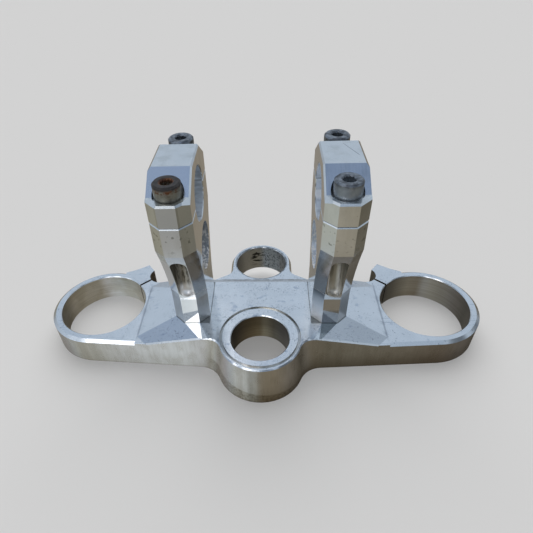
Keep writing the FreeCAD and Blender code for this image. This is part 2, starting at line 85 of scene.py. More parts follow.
# Creases, openings and levels that lie inside the boxes, in millimetres
CREASE_X = 74.6
CREASE_Y = 29.0
STEP_Y = 50.6
NOTCH_X = 70.9
NOTCH_Y = 63.7
NOTCH_RADIUS = 7.5
GROOVE_Y = 1.1
GROOVE_RADIUS = 22.65
GROOVE_FLOOR = PLATE_TOP - 1.2
RIM_RADIUS = 24.2
LIP_RADIUS = 17.5
LIP_Z = 23.9
FOOT_HALF = 18.3
WAIST_LOW = 50.0
WAIST_HIGH = 81.0
WINDOW_Z = 70.6
WINDOW_RADIUS = 13.6
SLOT_Z = 64.7
SLOT_HALF = 4.3
SLOT_HALF_HEIGHT = 17.0
SLOT_MOUTH_Y = 14.2
CAP_SLOPE_Z = 114.0
CAP_LEDGE_Z = 110.0
POCKET_RADIUS = 8.2

# The worn sockets of the cap screws, in millimetres
SOCKET_RADIUS = 3.2
SOCKET_DEPTH = 4.2
RIB_DEPTH = 0.45


# Colours and nodes

def linear(code):
    """An sRGB hex colour turned into the linear red, green, blue and alpha that Blender works in."""
    parts = np.array([int(code[i:i + 2], 16) for i in (1, 3, 5)]) / 255.0
    low = parts / 12.92
    high = ((parts + 0.055) / 1.055) ** 2.4
    made = np.where(parts <= 0.04045, low, high)
    return (float(made[0]), float(made[1]), float(made[2]), 1.0)


def add(tree, kind, inputs=None, **settings):
    """Adds one node, sets its properties, then fills or links its inputs, and returns it."""
    node = tree.nodes.new("ShaderNode" + kind)
    for name, value in settings.items():
        setattr(node, name, value)
    for key, value in (inputs or {}).items():
        if isinstance(value, bpy.types.NodeSocket):
            tree.links.new(value, node.inputs[key])
        else:
            node.inputs[key].default_value = value
    return node


def surface_point(tree):
    """The surface point in millimetres, as a vector."""
    metres = add(tree, "TexCoord").outputs["Object"]
    return add(tree, "VectorMath", {0: metres, 3: 1000.0}, operation="SCALE").outputs["Vector"]


def place(tree):
    """The surface point with its numbers, the numbers of its normal, and a mask of the faces that look up."""
    point = surface_point(tree)
    x, y, z = add(tree, "SeparateXYZ", {0: point}).outputs
    side = add(tree, "Math", {0: x}, operation="ABSOLUTE").outputs[0]
    normal = add(tree, "SeparateXYZ", {0: add(tree, "NewGeometry").outputs["Normal"]}).outputs
    top = ramp(tree, normal[2], 0.3, 0.7)
    return Place(point, x, y, z, side, normal[0], normal[1], normal[2], top)


def ramp(tree, value, low, high, start=0.0, end=1.0):
    """A smooth step from start at low to end at high. With low above high it falls as the value rises."""
    inputs = {"Value": value, 1: low, 2: high, 3: start, 4: end}
    return add(tree, "MapRange", inputs, interpolation_type="SMOOTHSTEP").outputs["Result"]


def near(tree, value, middle, inner, outer):
    """1 where the value lies within inner of the middle, fading to 0 at outer."""
    away = add(tree, "Math", {0: value, 1: middle}, operation="SUBTRACT").outputs[0]
    size = add(tree, "Math", {0: away}, operation="ABSOLUTE").outputs[0]
    return ramp(tree, size, outer, inner)


def overlap(tree, *masks):
    """Product of masks: 1 only where all of them are 1."""
    product = masks[0]
    for mask in masks[1:]:
        product = add(tree, "Math", {0: product, 1: mask}, operation="MULTIPLY").outputs[0]
    return product


def either(tree, first, second):
    """The larger of two masks."""
    return add(tree, "Math", {0: first, 1: second}, operation="MAXIMUM").outputs[0]


def apart(tree, point, x, y):
    """Plan distance of the point from an upright axis."""
    flat = add(tree, "VectorMath", {0: point, 1: (1.0, 1.0, 0.0)}, operation="MULTIPLY").outputs["Vector"]
    return add(tree, "VectorMath", {0: flat, 1: (x, y, 0.0)}, operation="DISTANCE").outputs["Value"]


def azimuth(tree, point, x, y):
    """Angle of the point round an upright axis in degrees, 0 on the far side and growing to the right."""
    away = add(tree, "VectorMath", {0: point, 1: (x, y, 0.0)}, operation="SUBTRACT").outputs["Vector"]
    split = add(tree, "SeparateXYZ", {0: away})
    turn = add(tree, "Math", {0: split.outputs[0], 1: split.outputs[1]}, operation="ARCTAN2").outputs[0]
    return add(tree, "Math", {0: turn, 1: 180.0 / math.pi}, operation="MULTIPLY").outputs[0]


def grain(tree, point, scale, stretch=(1.0, 1.0, 1.0), turn=0.0, detail=3.0):
    """Soft noise whose scale is in grains per millimetre, drawn out along a turned direction."""
    held = add(tree, "Mapping", {"Vector": point, "Rotation": (0.0, 0.0, turn), "Scale": stretch})
    return add(tree, "TexNoise", {"Vector": held.outputs[0], "Scale": scale, "Detail": detail}).outputs[0]


def spread(tree, noise, start, end):
    """Soft noise, which lies mostly between 0.3 and 0.7, turned into a number between start and end."""
    return add(tree, "MapRange", {"Value": noise, 1: 0.3, 2: 0.7, 3: start, 4: end}).outputs[0]


def specks(tree, point, spacing, size, share):
    """Small round spots: one in each cell of the given spacing, kept in only a share of the cells."""
    cells = add(tree, "TexVoronoi", {"Vector": point, "Scale": 1.0 / spacing})
    spot = ramp(tree, cells.outputs["Distance"], size, size * 0.5)
    chance = add(tree, "SeparateColor", {0: cells.outputs["Color"]}).outputs[0]
    return overlap(tree, spot, ramp(tree, chance, 1.0 - share, 1.05 - share))


def blended(tree, factor, first, second):
    """One colour over another by a mask. A hex code is turned into a colour."""
    first = linear(first) if isinstance(first, str) else first
    second = linear(second) if isinstance(second, str) else second
    node = add(tree, "Mix", {0: factor, 6: first, 7: second}, data_type="RGBA")
    return node.outputs[2]


def shaded(tree, factor, colour, shade):
    """A colour multiplied by a grey or tinted shade where the mask is 1."""
    node = add(tree, "Mix", {0: factor, 6: colour, 7: linear(shade)}, data_type="RGBA", blend_type="MULTIPLY")
    return node.outputs[2]


def bands(tree, value, low, high, stops):
    """Colours that change along a value, given as places between low and high with a hex code each."""
    share = add(tree, "MapRange", {"Value": value, 1: low, 2: high}).outputs["Result"]
    node = add(tree, "ValToRGB", {0: share})
    held = node.color_ramp.elements
    while len(held) < len(stops):
        held.new(0.5)
    for element, (place_at, code) in zip(held, sorted(stops)):
        element.position = (place_at - low) / (high - low)
        element.color = linear(code)
    return node.outputs[0]


def bands_round(tree, point, x, y, stops):
    """Colours that change with the azimuth round an upright axis, given in degrees with a hex code each."""
    return bands(tree, azimuth(tree, point, x, y), -180.0, 180.0, stops)


def fresh_material(name):
    """A node material with nothing in its tree yet, and the tree."""
    material = bpy.data.materials.new(name)
    material.use_nodes = True
    tree = material.node_tree
    tree.nodes.clear()
    return material, tree


def finish_with(tree, colour, roughness, metallic, bump, strength, distance):
    """Metal shader with a fine bump on the output node, less metallic where a coat of dirt dulls it."""
    raised = add(tree, "Bump", {"Height": bump, "Strength": strength, "Distance": distance})
    shader = add(tree, "BsdfPrincipled", {
        "Base Color": colour, "Metallic": metallic, "Roughness": roughness, "Normal": raised.outputs[0]})
    add(tree, "OutputMaterial", {"Surface": shader.outputs[0]})


# The plate's finish

def plate_flats(tree, here, look):
    """Colour of the faces that look up: pale metal with smudges, specks and scratches, painted shade in the
    creases and darker patches along a step.
    """
    point = here.point
    colour = blended(tree, grain(tree, point, 0.06), look.plate_colour[:], "#D3D6D8")
    smudge = ramp(tree, grain(tree, point, 0.16, (1.0, 1.6, 1.0), detail=6.0), 0.6, 0.72)
    colour = blended(tree, overlap(tree, smudge, here.top, 0.45), colour, "#98A5B8")
    spots = either(tree, specks(tree, point, 5.0, 0.085, 0.5), specks(tree, point, 2.2, 0.12, 0.3))
    colour = blended(tree, overlap(tree, spots, here.top, look.speck_strength), colour, "#4A5058")

    # Fine flecks in patches, and more of them on the raised centre
    flecks = ramp(tree, grain(tree, point, 0.9, (1.0, 0.7, 1.0), turn=0.5, detail=4.0), 0.62, 0.68)
    flecks = either(tree, flecks, specks(tree, point, 1.5, 0.2, 0.3))
    patches = ramp(tree, grain(tree, point, 0.06, detail=4.0), 0.4, 0.56)
    colour = blended(tree, overlap(tree, flecks, patches, here.top, 0.4), colour, "#5A6270")
    scatter = ramp(tree, grain(tree, point, 1.3, (1.0, 0.8, 1.0), turn=0.3, detail=4.0), 0.58, 0.64)
    centre = near(tree, here.x, 0.0, 48.0, 62.0)
    patches = ramp(tree, grain(tree, point, 0.11, detail=4.0), 0.44, 0.58)
    colour = blended(tree, overlap(tree, scatter, centre, patches, here.top, 0.45), colour, "#5A6270")

    # Long scratches in two directions
    for turn, scale in ((0.6, 0.5), (-0.9, 0.8)):
        scratch = ramp(tree, grain(tree, point, scale, (0.05, 1.6, 1.0), turn, detail=2.0), 0.69, 0.73)
        colour = blended(tree, overlap(tree, scratch, here.top, 0.35), colour, "#8C94A0")

    # Painted shade in the creases beside the rings, and darker patches along the step before the lock ring
    crease_patches = ramp(tree, grain(tree, point, 0.12, detail=5.0), 0.45, 0.62)
    along = overlap(tree, near(tree, here.y, CREASE_Y, 18.0, 27.0), here.top)
    broad = overlap(tree, near(tree, here.side, CREASE_X, 0.3, 3.0), crease_patches, along)
    colour = blended(tree, overlap(tree, broad, 0.25), colour, "#6E7782")
    thin = overlap(tree, near(tree, here.side, CREASE_X, 0.1, 1.0), along)
    colour = blended(tree, overlap(tree, thin, 0.45), colour, "#6A7079")
    step = overlap(tree, near(tree, here.y, STEP_Y, 0.2, 1.6), near(tree, here.x, 0.0, 20.0, 36.0))
    patches = ramp(tree, grain(tree, point, 0.25), 0.3, 0.55)
    return blended(tree, overlap(tree, step, patches, 0.65), colour, "#77736A")


def plate_walls(tree, here, cloud):
    """Colour of the side walls: fine upright streaks, with painted reflection and painted shade, browner
    towards the right and towards the bottom.
    """
    # Painted reflection and painted shade along x: light on the left walls, a dark upright streak on the boss
    # just left of the middle, darker and browner on the right walls
    wall = bands(tree, here.x, -110.0, 110.0, [
        (-106.0, "#D6CFC2"), (-84.0, "#E8E3DF"), (-46.0, "#EBE7E3"), (-34.0, "#D6D0CB"), (-25.0, "#E2DCD0"),
        (-19.0, "#E8E4DE"), (-8.0, "#E4E0DA"), (-5.5, "#AEA89E"), (-2.5, "#B4AFA4"), (0.5, "#DDD7CB"),
        (10.0, "#EAE4D8"), (18.0, "#DCD6CC"), (38.0, "#BFBDB4"), (55.0, "#CCCCC5"), (88.0, "#C8C4BC"),
        (104.0, "#BDB5AD")])
    streak = grain(tree, here.point, 0.9, (1.0, 1.0, 0.05), detail=4.0)
    wall = shaded(tree, ramp(tree, streak, 0.35, 0.65), wall, "#F7F7F6")
    wall = shaded(tree, overlap(tree, ramp(tree, cloud, 0.42, 0.66), 0.45), wall, "#E6E3DD")
    # Painted shade: darker and browner low on the walls, more so towards the right
    low = ramp(tree, here.z, 16.0, -2.0)
    rightward = ramp(tree, here.x, -40.0, 30.0, 0.3, 0.7)
    wall = shaded(tree, overlap(tree, low, rightward), wall, "#8F8573")

    # The foot of the boss is rough below a line that falls towards the right
    foot_line = add(tree, "Math", {0: here.x, 1: -0.11, 2: 6.4}, operation="MULTIPLY_ADD").outputs[0]
    below = add(tree, "Math", {0: foot_line, 1: here.z}, operation="SUBTRACT").outputs[0]
    rough_cast = overlap(tree, ramp(tree, below, -0.6, 0.6), near(tree, here.x, 0.0, 24.0, 34.0))
    pits = ramp(tree, grain(tree, here.point, 0.9, detail=5.0), 0.4, 0.66)
    wall = shaded(tree, rough_cast, wall, "#E6E3DC")
    wall = shaded(tree, overlap(tree, rough_cast, pits), wall, "#D0CCC5")
    return shaded(tree, ramp(tree, here.z, 0.2, 1.4, 0.3, 0.0), wall, "#8A7B62")


def bore_wall(tree, here, upright, x, y, radius):
    """1 on the upright wall of a bore."""
    return overlap(tree, near(tree, apart(tree, here.point, x, y), radius, 0.25, 0.5), upright)


def fork_bores(tree, here, upright, lines, colour):
    """Lays old grease over the fork bores, thin in places, with a painted highlight on the far wall and
    painted shade towards the sides. Returns the colour and their mask.
    """
    # Left bore: grease tones with a painted highlight on the far wall and painted shade on the near side,
    # darker high up towards its right side
    left = bore_wall(tree, here, upright, -FORK.x, FORK.y, FORK.radius)
    film_with_painted_light = bands_round(tree, here.point, -FORK.x, FORK.y, [
        (-112.0, "#5B574F"), (-90.0, "#938E83"), (-70.0, "#D4CBB9"), (-50.0, "#DFD7C5"), (-26.0, "#DED9CC"),
        (-14.0, "#FFFFFF"), (6.0, "#FDFEFC"), (18.0, "#EAE8DE"), (60.0, "#F2EFE4"), (100.0, "#CFC8BA"),
        (180.0, "#5B574F")])
    film_with_painted_light = shaded(tree, ramp(tree, grain(tree, here.point, 0.1, detail=4.0), 0.4, 0.6), film_with_painted_light, "#EEECE6")
    upper = overlap(tree, ramp(tree, here.z, 3.0, 15.0), ramp(tree, here.x, -112.0, -98.0))
    film_with_painted_light = shaded(tree, upper, film_with_painted_light, "#E2E3E2")
    colour = blended(tree, left, colour, shaded(tree, lines, film_with_painted_light, "#EEEDEA"))

    # Right bore: grease tones with a painted highlight across the far wall and painted shade to the sides
    right = bore_wall(tree, here, upright, FORK.x, FORK.y, FORK.radius)
    film_with_painted_light = bands_round(tree, here.point, FORK.x, FORK.y, [
        (-54.0, "#494640"), (-30.0, "#807B6F"), (-6.0, "#B6B0A1"), (8.0, "#AAA293"), (16.0, "#BFBDB7"),
        (26.0, "#B3ADA0"), (58.0, "#8D877F"), (72.0, "#7C7770"), (88.0, "#5E5B54"), (112.0, "#54524D"),
        (180.0, "#494640")])
    colour = blended(tree, right, colour, shaded(tree, lines, film_with_painted_light, "#EBE9E5"))
    return colour, add(tree, "Math", {0: left, 1: right}, operation="ADD").outputs[0]


def middle_bores(tree, here, upright, lines, colour):
    """Lays brown grease with a painted highlight and painted shade over the stem bore, and a painted
    highlight and painted shade with rust and grime over the lock bore. Returns colour and mask.
    """
    # Stem bore: grease tones with a painted highlight on the far wall a little left of the middle and painted
    # shade round the rest, darker towards the top
    stem = bore_wall(tree, here, upright, STEM.x, STEM.y, STEM.radius)
    film_with_painted_light = bands_round(tree, here.point, STEM.x, STEM.y, [
        (-74.0, "#383026"), (-34.0, "#8A7D64"), (-6.0, "#A2967B"), (12.0, "#938971"), (30.0, "#726B5C"),
        (62.0, "#5C564A"), (180.0, "#383026")])
    film_with_painted_light = shaded(tree, ramp(tree, here.z, 10.0, 22.0), film_with_painted_light, "#C2BEB6")
    colour = blended(tree, stem, colour, shaded(tree, lines, film_with_painted_light, "#EBE8E1"))

    # Lock bore: a painted highlight on the far left and painted shade towards the near side, under rust and
    # grime
    lock = bore_wall(tree, here, upright, LOCK.x, LOCK.y, LOCK.radius)
    film_with_painted_light = bands_round(tree, here.point, LOCK.x, LOCK.y, [
        (-80.0, "#75726A"), (-45.0, "#BBB5A8"), (-5.0, "#B2AFA4"), (8.0, "#A5AAAE"), (70.0, "#989DA1"),
        (180.0, "#75726A")])
    rust = ramp(tree, grain(tree, here.point, 0.9, detail=5.0), 0.5, 0.6)
    film_with_painted_light = shaded(tree, overlap(tree, rust, ramp(tree, here.x, -4.0, 2.0, 0.15, 0.9)), film_with_painted_light, "#7C7E80")
    grime = ramp(tree, grain(tree, here.point, 0.24, (0.7, 0.7, 2.0), turn=0.4, detail=5.0), 0.49, 0.56)
    grime = overlap(tree, grime, near(tree, here.x, -2.5, 3.0, 6.5), ramp(tree, here.z, 8.0, 13.0))
    colour = blended(tree, lock, colour, shaded(tree, grime, film_with_painted_light, "#444342"))
    return colour, add(tree, "Math", {0: stem, 1: lock}, operation="ADD").outputs[0]


def plate_dirt_and_shade(tree, here, upright, colour):
    """Painted shade in the notches beside the clamp ears and on the boss rim, a darker groove floor, dirt on
    the lips of the lock bore and round the riser feet.
    """
    # Painted shade on the walls of the notches beside the clamp ears
    notches = [apart(tree, here.point, x, NOTCH_Y) for x in (NOTCH_X, -NOTCH_X)]
    notch = add(tree, "Math", {0: notches[0], 1: notches[1]}, operation="MINIMUM").outputs[0]
    notch = overlap(tree, near(tree, notch, NOTCH_RADIUS, 0.2, 0.5), upright)
    colour = shaded(tree, notch, colour, "#8A847A")

    # The groove round the stem bore is darker at its floor, least on the far side and on the near side
    groove = near(tree, apart(tree, here.point, STEM.x, GROOVE_Y), GROOVE_RADIUS, 0.75, 0.95)
    floor = ramp(tree, here.z, GROOVE_FLOOR - 0.4, GROOVE_FLOOR - 0.2)
    deep = ramp(tree, here.z, GROOVE_FLOOR + 1.0, GROOVE_FLOOR + 0.7)
    dirt = ramp(tree, here.side, 8.0, 20.0, 0.1, 0.6)
    colour = shaded(tree, overlap(tree, groove, floor, deep, dirt), colour, "#ACAAA4")

    # Painted shade on the outer half of the boss rim, on the near side, which narrows its highlight
    rim = near(tree, apart(tree, here.point, STEM.x, STEM.y), RIM_RADIUS, 0.6, 0.8)
    rim = overlap(tree, rim, here.top, ramp(tree, here.y, 0.0, -2.0))
    colour = shaded(tree, rim, colour, "#E4E6EA")

    # Dirt on the lips of the lock bore
    lip = near(tree, apart(tree, here.point, LOCK.x, LOCK.y), LIP_RADIUS, 0.5, 0.6)
    patches = ramp(tree, grain(tree, here.point, 0.4, detail=4.0), 0.35, 0.6, 0.4, 1.0)
    lip = overlap(tree, lip, ramp(tree, here.z, LIP_Z - 0.2, LIP_Z), patches)
    colour = shaded(tree, lip, colour, "#A2A4A6")

    # A dark line of dirt where the riser feet stand on the plate
    foot_x = near(tree, here.side, BAR.x, RISER_HALF, RISER_HALF + 0.5)
    foot_y = near(tree, here.y, BAR.y, FOOT_HALF, FOOT_HALF + 0.5)
    seam = overlap(tree, foot_x, foot_y, ramp(tree, here.z, PLATE_TOP - 0.2, PLATE_TOP - 0.05), here.top)
    return shaded(tree, overlap(tree, seam, 0.8), colour, "#8C8C88")


def worn_milled_aluminium(look):
    """Bare milled aluminium of the yoke: bright flats with handling marks, streaked walls, stained bores."""
    material, tree = fresh_material("worn_milled_aluminium")
    here = place(tree)
    upright = ramp(tree, here.normal_z, 0.35, 0.15)
    cloud = grain(tree, here.point, 0.18, (1.0, 1.0, 0.6), detail=5.0)
    colour = blended(tree, here.top, plate_walls(tree, here, cloud), plate_flats(tree, here, look))

    # Fine lines left by the turning tool show through the films in the bores
    lines = ramp(tree, grain(tree, here.point, 1.1, (0.03, 0.03, 1.0)), 0.35, 0.65)
    colour, forks = fork_bores(tree, here, upright, lines, colour)
    colour, middles = middle_bores(tree, here, upright, lines, colour)
    colour = plate_dirt_and_shade(tree, here, upright, colour)

    # The flats are smoother than the walls, smoothest where they lean a little to the rear
    leaning = overlap(tree, near(tree, here.normal_y, -0.05, 0.02, 0.035), here.top)
    rough_top = spread(tree, grain(tree, here.point, 0.15), 0.16, 0.24)
    rough_top = add(tree, "Mix", {0: leaning, 2: rough_top, 3: 0.05}).outputs[0]
    rough_wall = spread(tree, cloud, 0.25, 0.28)
    rough = add(tree, "Mix", {0: here.top, 2: rough_wall, 3: rough_top}).outputs[0]
    bores = add(tree, "Math", {0: forks, 1: middles}, operation="ADD").outputs[0]
    rough = add(tree, "Mix", {0: bores, 2: rough, 3: 0.34}).outputs[0]

    # The films in the bores take away from the metal's mirror
    dull = overlap(tree, middles, 0.45)
    dull = add(tree, "Math", {0: forks, 1: 0.55, 2: dull}, operation="MULTIPLY_ADD").outputs[0]
    metallic = add(tree, "Math", {0: 1.0, 1: dull}, operation="SUBTRACT").outputs[0]
    fine = grain(tree, here.point, 1.4, (1.0, 1.0, 0.25), detail=2.0)
    finish_with(tree, colour, rough, metallic, fine, 0.06, 0.00005)
    return material


# The risers' and caps' finish

def riser_faces(tree, here, look, left, right):
    """Colour of the machined faces: bright metal with clouds and a few dark specks, brushed cap slopes, the
    left one painted lighter and the right one painted darker.
    """
    point = here.point
    colour = blended(tree, grain(tree, point, 0.1), look.riser_colour[:], "#DFE1E2")
    colour = shaded(tree, here.top, colour, "#F0F1F2")
    cloud = ramp(tree, grain(tree, point, 0.12, (1.0, 1.0, 0.4), detail=5.0), 0.45, 0.7)
    colour = shaded(tree, overlap(tree, cloud, 0.5), colour, "#E3E2DE")
    spots = either(tree, specks(tree, point, 5.0, 0.09, 0.3), specks(tree, point, 2.6, 0.1, 0.2))
    colour = blended(tree, overlap(tree, spots, 0.6), colour, "#55554F")
    smudge = ramp(tree, grain(tree, point, 0.35, detail=6.0), 0.60, 0.66)
    smudge = overlap(tree, smudge, near(tree, here.z, 96.0, 3.0, 9.0))
    colour = shaded(tree, overlap(tree, smudge, 0.8), colour, "#B4B5AE")

    # Brushed lines run down the sloping ends of the caps
    slope = overlap(tree, near(tree, here.normal_z, 0.83, 0.08, 0.12),
                    ramp(tree, here.z, CAP_SLOPE_Z, CAP_SLOPE_Z + 2.0))
    brushed = ramp(tree, grain(tree, point, 1.2, (1.0, 0.05, 0.05)), 0.4, 0.7)
    colour = shaded(tree, overlap(tree, slope, brushed), colour, "#F7F8F9")
    # Painted light on the left cap's slope and painted shade on the right cap's slope
    colour = blended(tree, overlap(tree, slope, left), colour, "#E0E1E2")
    return shaded(tree, overlap(tree, slope, right), colour, "#F0F1F3")


def slot_trough(tree, here, left, right):
    """Mask and colour of the slots: smooth troughs with painted shade along the left side and a painted
    highlight along the right.
    """
    centre = add(tree, "Math", {0: here.x, 1: 0.0}, operation="GREATER_THAN").outputs[0]
    centre = add(tree, "MapRange", {"Value": centre, 3: -BAR.x, 4: BAR.x}).outputs["Result"]
    across = add(tree, "Math", {0: here.x, 1: centre}, operation="SUBTRACT").outputs[0]
    # Across each slot: painted shade along the left wall and a painted highlight along the right
    colour = bands(tree, across, -5.0, 5.0, [
        (-4.3, "#7C796F"), (-2.4, "#B5B1A6"), (0.8, "#C8C5BA"), (2.2, "#FFFFFF"), (3.4, "#FFFFFF"),
        (4.3, "#C0C0BC")])
    # Painted shade: the right riser's slot is darker
    colour = shaded(tree, right, colour, "#EFEDE6")
    ripple = ramp(tree, grain(tree, here.point, 0.3, (1.0, 1.0, 0.25), detail=6.0), 0.45, 0.62)
    colour = shaded(tree, ripple, colour, "#CFCDC8")
    stain = ramp(tree, grain(tree, here.point, 0.9, (1.0, 1.0, 0.35), detail=6.0), 0.53, 0.6)
    colour = shaded(tree, overlap(tree, stain, left), colour, "#A3A29E")
    fade = overlap(tree, ramp(tree, here.z, 60.0, 80.0), ramp(tree, right, 0.0, 1.0, 0.8, 0.4))
    colour = shaded(tree, fade, colour, "#95928A")
    # Painted highlight on the round lower end of each slot, strongest on the left riser
    end_highlight = overlap(tree, ramp(tree, here.z, 58.0, 53.0), ramp(tree, right, 0.0, 1.0, 1.0, 0.2))
    colour = blended(tree, overlap(tree, end_highlight, ramp(tree, across, -4.4, -2.5)), colour, "#FFFFFF")

    mask = overlap(
        tree, near(tree, across, 0.0, SLOT_HALF + 0.02, SLOT_HALF + 0.1),
        near(tree, here.z, SLOT_Z, SLOT_HALF_HEIGHT, SLOT_HALF_HEIGHT + 0.4),
        ramp(tree, here.y, SLOT_MOUTH_Y + 0.4, SLOT_MOUTH_Y), ramp(tree, here.normal_z, -0.2, -0.1))
    return mask, colour


def hole_film_and_light(tree, here, sideways, left, right):
    """Mask and colour of the bar bores and the windows, which are duller than the faces, with painted
    highlights and painted shade.
    """
    flat = add(tree, "VectorMath", {0: here.point, 1: (0.0, 1.0, 1.0)}, operation="MULTIPLY")
    rings = []
    for height, radius in ((BAR.z, BAR.radius), (WINDOW_Z, WINDOW_RADIUS)):
        middle = (0.0, BAR.y, height)
        away = add(tree, "VectorMath", {0: flat.outputs["Vector"], 1: middle}, operation="DISTANCE")
        rings.append(near(tree, away.outputs["Value"], radius, 0.15, 0.3))
    mask = overlap(tree, either(tree, rings[0], rings[1]), ramp(tree, sideways, 0.4, 0.2))

    glints = ramp(tree, grain(tree, here.point, 0.25, (0.3, 1.0, 1.0), detail=4.0), 0.4, 0.65)
    film_with_painted_light = blended(tree, glints, "#D6E0EA", "#A2AAB2")
    # Painted shade low in the left holes, a painted highlight band high in the right bar bore, and the right
    # holes painted lighter
    film_with_painted_light = shaded(tree, overlap(tree, left, ramp(tree, here.z, 88.0, 84.0)), film_with_painted_light, "#D8D9DA")
    worn = overlap(tree, near(tree, here.z, 95.6, 1.2, 2.6), right)
    film_with_painted_light = blended(tree, worn, film_with_painted_light, "#FFFFFF")
    film_with_painted_light = blended(tree, overlap(tree, right, 0.45), film_with_painted_light, "#EAF3FF")

    # Painted highlight in a lacy pattern low on the outer side of each window, painted shadow on the inner
    # side of the left window and high in the left bar bore
    lace_highlight = ramp(tree, grain(tree, here.point, 0.7, (1.0, 1.0, 0.6), detail=4.0), 0.46, 0.58)
    outer = overlap(tree, near(tree, here.side, 31.0, 2.5, 4.5), ramp(tree, here.z, 76.0, 68.0))
    film_with_painted_light = blended(tree, overlap(tree, lace_highlight, outer), film_with_painted_light, "#FFFFFF")
    inner = overlap(tree, near(tree, here.side, 37.0, 1.5, 3.5), ramp(tree, here.z, 84.0, 78.0))
    film_with_painted_light = shaded(tree, overlap(tree, inner, left), film_with_painted_light, "#A4A8AC")
    roof_shade = overlap(tree, ramp(tree, here.z, 104.0, 109.0), left)
    return mask, shaded(tree, roof_shade, film_with_painted_light, "#D2D4D6")


def riser_bevels(tree, here, sideways, left, right, colour):
    """Brushed bevels of feet and waists, with painted shade, painted highlights and a painted reflection.
    Returns colour, mask of foot bevels and mask of the inward one.
    """
    # Painted shade on the rear face of the left cap
    above_split = ramp(tree, here.z, BAR.z + 0.1, BAR.z + 0.3)
    rear_cap_shade = overlap(tree, above_split, ramp(tree, here.y, -2.0, -2.4), left)
    colour = shaded(tree, rear_cap_shade, colour, "#EAEAE8")

    # Painted shade on the foot bevels that face outwards, away from the middle plane; on the waists, painted
    # shade on the bevels that face inwards and a painted highlight on those that face outwards
    sign = add(tree, "Math", {0: here.x}, operation="SIGN").outputs[0]
    away = add(tree, "Math", {0: here.normal_x, 1: sign}, operation="MULTIPLY").outputs[0]
    outward = ramp(tree, away, 0.4, 0.5)
    foot = overlap(tree, near(tree, sideways, 0.707, 0.03, 0.06), ramp(tree, here.z, 51.0, 49.5))
    colour = shaded(tree, overlap(tree, foot, left, outward), colour, "#E8E9EB")
    colour = shaded(tree, overlap(tree, foot, right, outward), colour, "#DADADA")
    above = ramp(tree, here.z, WAIST_LOW, WAIST_LOW + 1.0)
    waist = overlap(tree, above, ramp(tree, here.z, WAIST_HIGH, WAIST_HIGH - 2.0))
    edge = overlap(tree, waist, near(tree, sideways, 0.69, 0.03, 0.06))
    colour = shaded(tree, overlap(tree, edge, ramp(tree, away, -0.4, -0.5)), colour, "#E6E6E5")
    colour = blended(tree, overlap(tree, edge, outward), colour, "#FFFFFF")

    # Painted shade on the rear of the waist and on the lower rear of the right foot
    rear = ramp(tree, here.normal_y, -0.8, -0.9)
    colour = shaded(tree, overlap(tree, waist, rear), colour, "#E8E6E2")
    rear_foot_shade = overlap(tree, rear, ramp(tree, here.z, WAIST_LOW + 1.0, WAIST_LOW), right)
    colour = shaded(tree, overlap(tree, rear_foot_shade, ramp(tree, here.z, 38.0, 35.0)), colour, "#C8CCD0")

    # Painted reflection on the right foot's inner bevel: the bright plate below and the dark side of the
    # waist above
    inward = overlap(tree, foot, right, ramp(tree, here.normal_x, -0.4, -0.5))
    bevel_reflection = bands(tree, here.z, 26.0, 50.0, [
        (28.0, "#FFFFFF"), (38.0, "#E6F2FF"), (44.0, "#B8C8D8"), (49.0, "#6A7682")])
    return blended(tree, inward, colour, bevel_reflection), foot, inward


def riser_dirt_and_shade(tree, here, right, colour):
    """Painted shade in the counterbores round the rear screws, dirt along the split and at the feet, and one
    long scratch on the right cap.
    """
    # Painted shade on the walls of the counterbores round the rear screws
    pocket_shades = [near(tree, apart(tree, here.point, x, SCREW_Y), 0.0, POCKET_RADIUS, POCKET_RADIUS + 0.4)
               for x in (-SCREW_X, SCREW_X)]
    pocket_shade = overlap(
        tree, either(tree, pocket_shades[0], pocket_shades[1]), ramp(tree, here.z, CAP_LEDGE_Z, CAP_LEDGE_Z + 1.0),
        ramp(tree, here.normal_z, 0.3, 0.2), ramp(tree, here.y, -2.4, -2.0))
    colour = shaded(tree, pocket_shade, colour, "#77787A")

    # The scratch runs along the first axis of a frame that is turned about its middle
    run = add(tree, "VectorMath", {0: here.point, 1: (BAR.x + 4.3, BAR.y + 4.0, 0.0)}, operation="SUBTRACT")
    turned = add(tree, "VectorRotate", {0: run.outputs["Vector"], "Angle": 1.15}, rotation_type="Z_AXIS")
    along = add(tree, "SeparateXYZ", {0: turned.outputs[0]}).outputs
    scratch = overlap(
        tree, near(tree, along[1], 0.0, 0.06, 0.24), near(tree, along[0], 0.0, 6.5, 8.0),
        ramp(tree, here.z, CAP_TOP - 0.3, CAP_TOP - 0.2), right)
    colour = blended(tree, overlap(tree, scratch, 0.7), colour, "#4E5257")

    split = near(tree, here.z, BAR.z, 0.15, 0.5)
    colour = shaded(tree, overlap(tree, split, 0.7), colour, "#8E8E8A")
    foot = ramp(tree, here.z, PLATE_TOP + 0.7, PLATE_TOP + 0.1)
    return shaded(tree, overlap(tree, foot, 0.7), colour, "#8E8E86")


